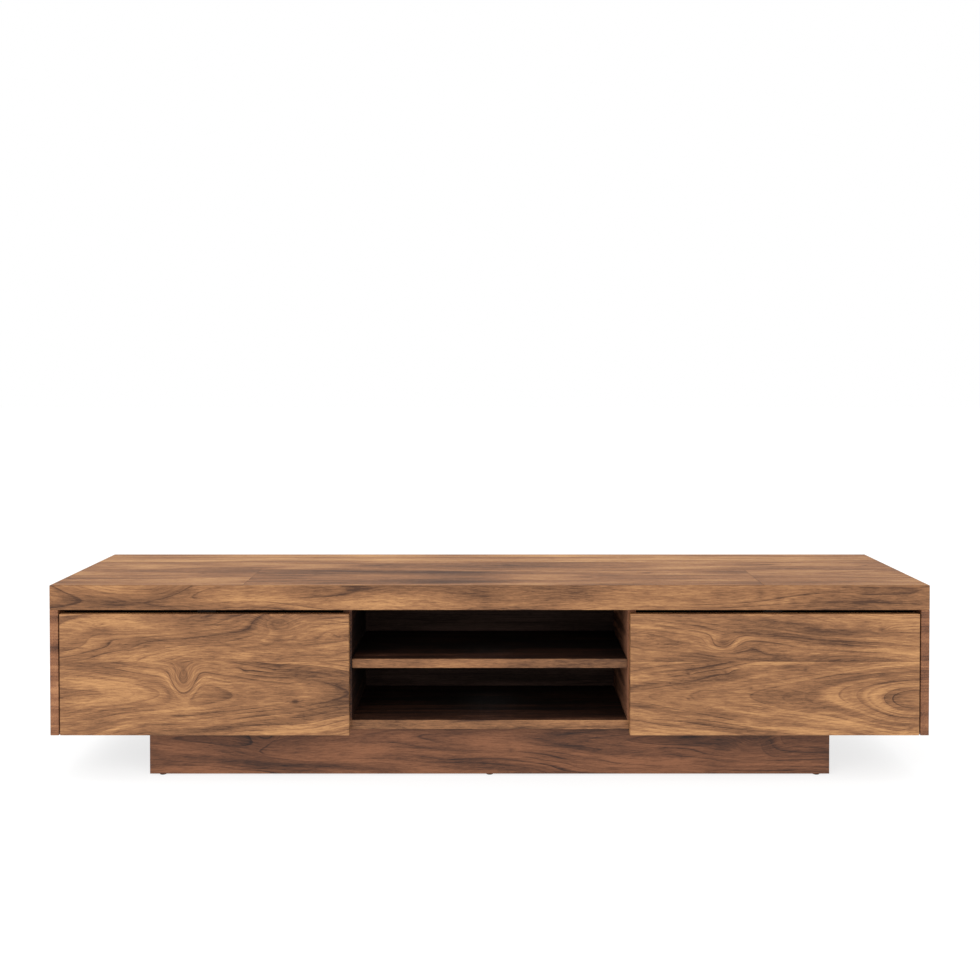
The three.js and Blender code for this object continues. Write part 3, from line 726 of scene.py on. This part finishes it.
lip_low, lip_high = span("top_front_lipping")
timber("top_front_lipping", [whole(
    "top_front_lipping", 0, 2, step=0.005, heart=(0.455, FRONT + 0.045), wave=0.012, seed=51, taper=0.02,
    tone=-0.03, knots=(
        (-0.880, 0.500, 0.040, 0.075, 2.6, 0), (-0.80, 0.458, 0.014, 0.01, 3, 0.12),
        (-0.62, 0.437, 0.020, 0, 4.5, -0.14), (-0.60, 0.395, 0.03, 0.02, 3, 0),
        (0.0, 0.44, 0.20, 0, 2.5, 0.24),
        (0.54, 0.452, 0.016, 0, 4, -0.08), (0.645, 0.450, 0.020, 0, 0.7, 0.16),
        (0.690, 0.440, 0.030, 0, 0.6, 0.10), (0.725, 0.425, 0.014, 0, 1.2, 0.14)))],
    "cabinet", oiled_walnut,
    mitred(1, lip_low[1], lip_low, lip_high, ((2, 1), (0, -1), (0, 1))))
for hand, side in HANDS:
    node = f"top_{hand}_lipping"
    end_low, end_high = span(node)
    outer = end_high[0] if side > 0 else end_low[0]
    timber(node, [whole(node, 1, 2, step=0.005, seed=53 + side, wave=0.006)], "cabinet",
           oiled_walnut, mitred(0, outer, end_low, end_high, ((2, 1), (1, -1))))

timber("top_back_rail", [whole("top_back_rail", 0, 2, seed=57)],
       "cabinet", oiled_walnut)
# The underskin, the ceiling of the bay and of the cupboards, is near black: painted shade.
timber("top_underskin", [whole("top_underskin", 0, 1, seed=58, step=0.02)],
       "cabinet", painted_shade_walnut)
for hand, side in HANDS:
    for place in ("outer", "inner"):
        node = f"top_rib_{place}_{hand}"
        timber(node, [whole(node, 1, 2, seed=60 + side, step=0.03)],
               "cabinet", planed_spruce)


# ---- Flaps ---------------------------------------------------------------------------------------
# Each flap is two wide flat-sawn walnut boards glued edge to edge, the lower one with its heart's
# cathedral figure, and oiled. The joint shows as a fine level line.

GLUE_LINE = 0.287  # its height above the floor
FLAP_GLUE_EDGE = 0.00015
FLAP_GRID = [0.0035, 0.005, 0.003]  # fine enough for the figure round a knot


def flap_board(node, part, **figure):
    """The lower or the upper board of a flap, from the flap's edge to the glue line."""
    low, high = span(node)
    radius_low, radius_high = [ARRIS] * 3, [ARRIS] * 3
    if part == "lower":
        high[2], radius_high[2] = GLUE_LINE, FLAP_GLUE_EDGE
    else:
        low[2], radius_low[2] = GLUE_LINE, FLAP_GLUE_EDGE
    return {"low": low, "high": high, "radius_low": radius_low, "radius_high": radius_high,
            "step": FLAP_GRID, "figure": {"along": 0, "across": 2, **figure}}


timber("left_flap", [
    flap_board("left_flap", "lower", heart=(0.211, FRONT + 0.028), taper=0.115, wave=0.007, seed=71,
               tone=-0.05, knots=(
                   (-0.732, 0.240, 0.026, 0.058, 0.75, 0), (-0.583, 0.266, 0.004, 0.004, 2, 0.35),
                   (-0.513, 0.268, 0.003, 0.003, 2, 0.35), (-0.464, 0.192, 0.006, 0.006, 2, 0.35),
                   (-0.90, 0.215, 0.030, -0.009, 2, 0))),
    flap_board("left_flap", "upper", heart=(0.55, FRONT + 0.10), slope=0.17, wave=0.014, seed=72,
               tone=-0.095, knots=(
                   (-0.505, 0.384, 0.020, 0.036, 1.6, 0.12), (-0.93, 0.36, 0.018, 0.010, 3, 0.14),
                   (-0.50, 0.333, 0.012, 0.006, 2.5, 0.12), (-0.63, 0.316, 0.007, 0, 6, -0.14))),
], "left_door", oiled_walnut)
timber("right_flap", [
    flap_board("right_flap", "lower", heart=(0.205, FRONT + 0.026), taper=-0.13, wave=0.006, seed=73,
               tone=0.02, knots=(
                   (0.475, 0.258, 0.004, 0.004, 2, 0.3), (0.564, 0.261, 0.006, 0.005, 1.5, 0.3),
                   (0.754, 0.267, 0.004, 0.004, 2, 0.3), (0.475, 0.198, 0.003, 0.003, 2, 0.35),
                   (1.00, 0.185, 0.040, -0.035, 1.8, 0), (0.66, 0.172, 0.007, 0.004, 3, 0.14),
                   (0.985, 0.200, 0.022, 0, 2, 0.07))),
    flap_board("right_flap", "upper", heart=(0.18, FRONT + 0.12), slope=-0.09, wave=0.013, seed=74,
               tone=-0.025, knots=(
                   (0.556, 0.330, 0.016, 0.026, 1.8, 0.18), (0.936, 0.365, 0.008, 0.009, 1.6, 0.3),
                   (0.535, 0.345, 0.008, 0, 2.5, -0.14))),
], "right_door", oiled_walnut)


# ---- Piano hinges --------------------------------------------------------------------------------
# Full-length hinges of rolled brass strip, bronzed, with a steel pin through their knuckles. One
# leaf is screwed to the flap's back, the other to the front of the bottom panel.

# Rolled brass, bronzed and lacquered: dull yellow-brown metal with soft reflections.
bronzed_brass = plated("bronzed_brass", "#a08857", "#8b7448", 0.36)
LEAF = 0.0008  # thickness
SEAM = 0.0002  # between a leaf and its board
SCREW_ROW = 0.009  # down from a leaf's upper edge
HINGE_SCREWS = 10
LEAF_SCREW, LEAF_SCREW_RISE = 0.0029, 0.00014  # radius, and height above the leaf

for hand, side in HANDS:
    panel_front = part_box("bottom_panel")[0][1]
    for part, body, sense in (("moving", f"{hand}_door", 1), ("fixed", "cabinet", -1)):
        node = f"{hand}_hinge_{part}_leaf"
        show(mesh_of(merged(node), node + "_strip"), body, [bronzed_brass], node,
             easing=0.00012)
        low, high = span(node)
        face = low[1] + LEAF if part == "moving" else panel_front - LEAF - SEAM
        pitch = (high[0] - low[0]) / HINGE_SCREWS
        first = low[0] + pitch * (0.35 if part == "moving" else 0.65)
        places = [(first + count * pitch, face, high[2] - SCREW_ROW) for count in range(HINGE_SCREWS)]
        screw_heads(node + "_screws", places, 1, sense, LEAF_SCREW, body, bronzed_brass,
                    height=LEAF_SCREW_RISE)
    node = f"{hand}_hinge_pin"
    start, length, radius = end_of(node, side)
    show(turned(node + "_rod", rod(radius, length, 0.0003), start, 0, side, turns=20, easing=0.0001),
         "cabinet", [zinc_steel], node)


# ---- Stays ---------------------------------------------------------------------------------------
# A slotted arm of 2 mm steel strip, riveted to a bracket on each flap. It slides along a turned stud
# on the bench's side and stops the flap when it lies level. All of it is zinc plated.

STRIP = 0.002  # thickness
RIVET_SHANK, RIVET_HEAD = 0.0024, 0.0012  # radius, thickness
STUD_SHANK, STUD_HEAD = 0.003, (0.0065, 0.0015)  # radius, and the head's radius and thickness
BRACKET_SCREWS, STUD_SCREWS = (-0.0115, 0.0115), (-0.0055, 0.0055)  # up from the middle

for hand, side in HANDS:
    node = f"{hand}_stay_arm"
    show(mesh_of(merged(node), node + "_strip"), f"{hand}_stay", [zinc_steel], node,
         easing=0.0003)

    node = f"{hand}_stay_bracket"
    show(mesh_of(merged(node), node + "_angle"), f"{hand}_door", [zinc_steel], node,
         easing=0.0003)
    low, high = span(node)
    x, z = (low[0] + high[0]) / 2 - side * 0.001, (low[2] + high[2]) / 2
    screw_heads(node + "_screws", [(x, low[1] + STRIP, z + rise) for rise in BRACKET_SCREWS],
                1, 1, 0.0027, f"{hand}_door", zinc_steel, height=0.0007)

    node = f"{hand}_stay_rivet"
    start, length, head = end_of(node, side)
    half = [(head * 0.6, 0), (head, RIVET_HEAD * 0.6), (head, RIVET_HEAD), (RIVET_SHANK, RIVET_HEAD)]
    profile = half + [(radius, length - distance) for radius, distance in half[::-1]]
    show(turned(node + "_turned", profile, start, 0, side, turns=36, easing=0.0002),
         f"{hand}_door", [zinc_steel], node)

    node = f"{hand}_stay_stud"
    start, length, flange = end_of(node, side)
    radius, thickness = STUD_HEAD
    profile = [(radius - 0.001, 0), (radius, 0.0006), (radius, thickness), (STUD_SHANK, thickness),
               (STUD_SHANK, length - FLANGE), (flange, length - FLANGE), (flange, length)]
    show(turned(node + "_turned", profile, start, 0, side, turns=44),
         "cabinet", [zinc_steel], node)
    x = start[0] + side * (length - FLANGE)
    screw_heads(node + "_screws", [(x, start[1], start[2] + rise) for rise in STUD_SCREWS],
                0, -side, 0.0016, "cabinet", zinc_steel, height=0.0004)


# ---- Catches -------------------------------------------------------------------------------------
# A magnet between two steel pole plates in a black moulded housing, screwed up into the top, pulls
# on a zinc-plated strike plate that is screwed to the flap's back.

# Sintered ferrite, ground flat: charcoal grey and matt, with a grey speckle drawn 0.6 mm wide because
# its real crystals would not show.
ferrite, tree, shader = new_material("sintered_ferrite")
speckle = add(tree, "TexNoise", {
    "Vector": add(tree, "TexCoord").outputs["Object"], "Scale": 1800}).outputs[0]
tree.links.new(add(tree, "ValToRGB", {0: speckle}, stops=[(0.4, "#232221"), (0.7, "#383634")]).outputs[0],
               shader.inputs["Base Color"])
shader.inputs["Roughness"].default_value = 0.7

HOUSING_SETBACK = 0.0005  # back from the front of the catch, so that the poles stand proud
POLE, MAGNET = 0.0014, 0.0026  # thicknesses
MAGNET_HALF, MAGNET_DEPTH = 0.014, 0.006  # half its width, and how far back it goes
STACK_GAP = 0.0002  # between a pole and the magnet
FIRST_POLE = 0.0024  # up from the housing's underside
HOUSING_SCREWS, STRIKE_SCREWS = (-0.0185, 0.0185), (-0.013, 0.013)  # along from the middle


def eased_block(name, low, high, easing):
    """A box with rounded edges, made as a board's is."""
    points, quads = rounded_box(low, high, [easing] * 3, [easing] * 3, [0.01] * 3)
    return mesh_from(name, points, quads.tolist())


for hand, side in HANDS:
    node = f"{hand}_catch"
    low, high = span(node)
    middle = (low + high) / 2
    show(eased_block(node + "_housing", low + (0, HOUSING_SETBACK, 0), high, 0.0011),
         "cabinet", [moulded_plastic], node)
    level = low[2] + FIRST_POLE
    for name, thickness, setback, slot, material in (
        ("lower_pole", POLE, 0.0001, "steel", zinc_steel),
        ("magnet", MAGNET, 0.0003, "black_plastic", ferrite),
        ("upper_pole", POLE, 0.0001, "steel", zinc_steel),
    ):
        corner = (middle[0] - MAGNET_HALF, low[1] + setback, level)
        opposite = (middle[0] + MAGNET_HALF, low[1] + MAGNET_DEPTH, level + thickness)
        show(eased_block(f"{node}_{name}", corner, opposite, 0.0002), "cabinet", [material])
        level += thickness + STACK_GAP
    places = [(middle[0] + reach, middle[1], low[2]) for reach in HOUSING_SCREWS]
    screw_heads(node + "_screws", places, 2, -1, 0.0027, "cabinet", zinc_steel, height=0.0006)

    node = f"{hand}_strike_plate"
    show(mesh_of(merged(node), node + "_strip"), f"{hand}_door", [zinc_steel], node,
         easing=0.0003)
    low, high = span(node)
    middle = (low + high) / 2
    places = [(middle[0] + reach, high[1], middle[2]) for reach in STRIKE_SCREWS]
    screw_heads(node + "_screws", places, 1, 1, 0.0024, f"{hand}_door", zinc_steel,
                height=0.00012)
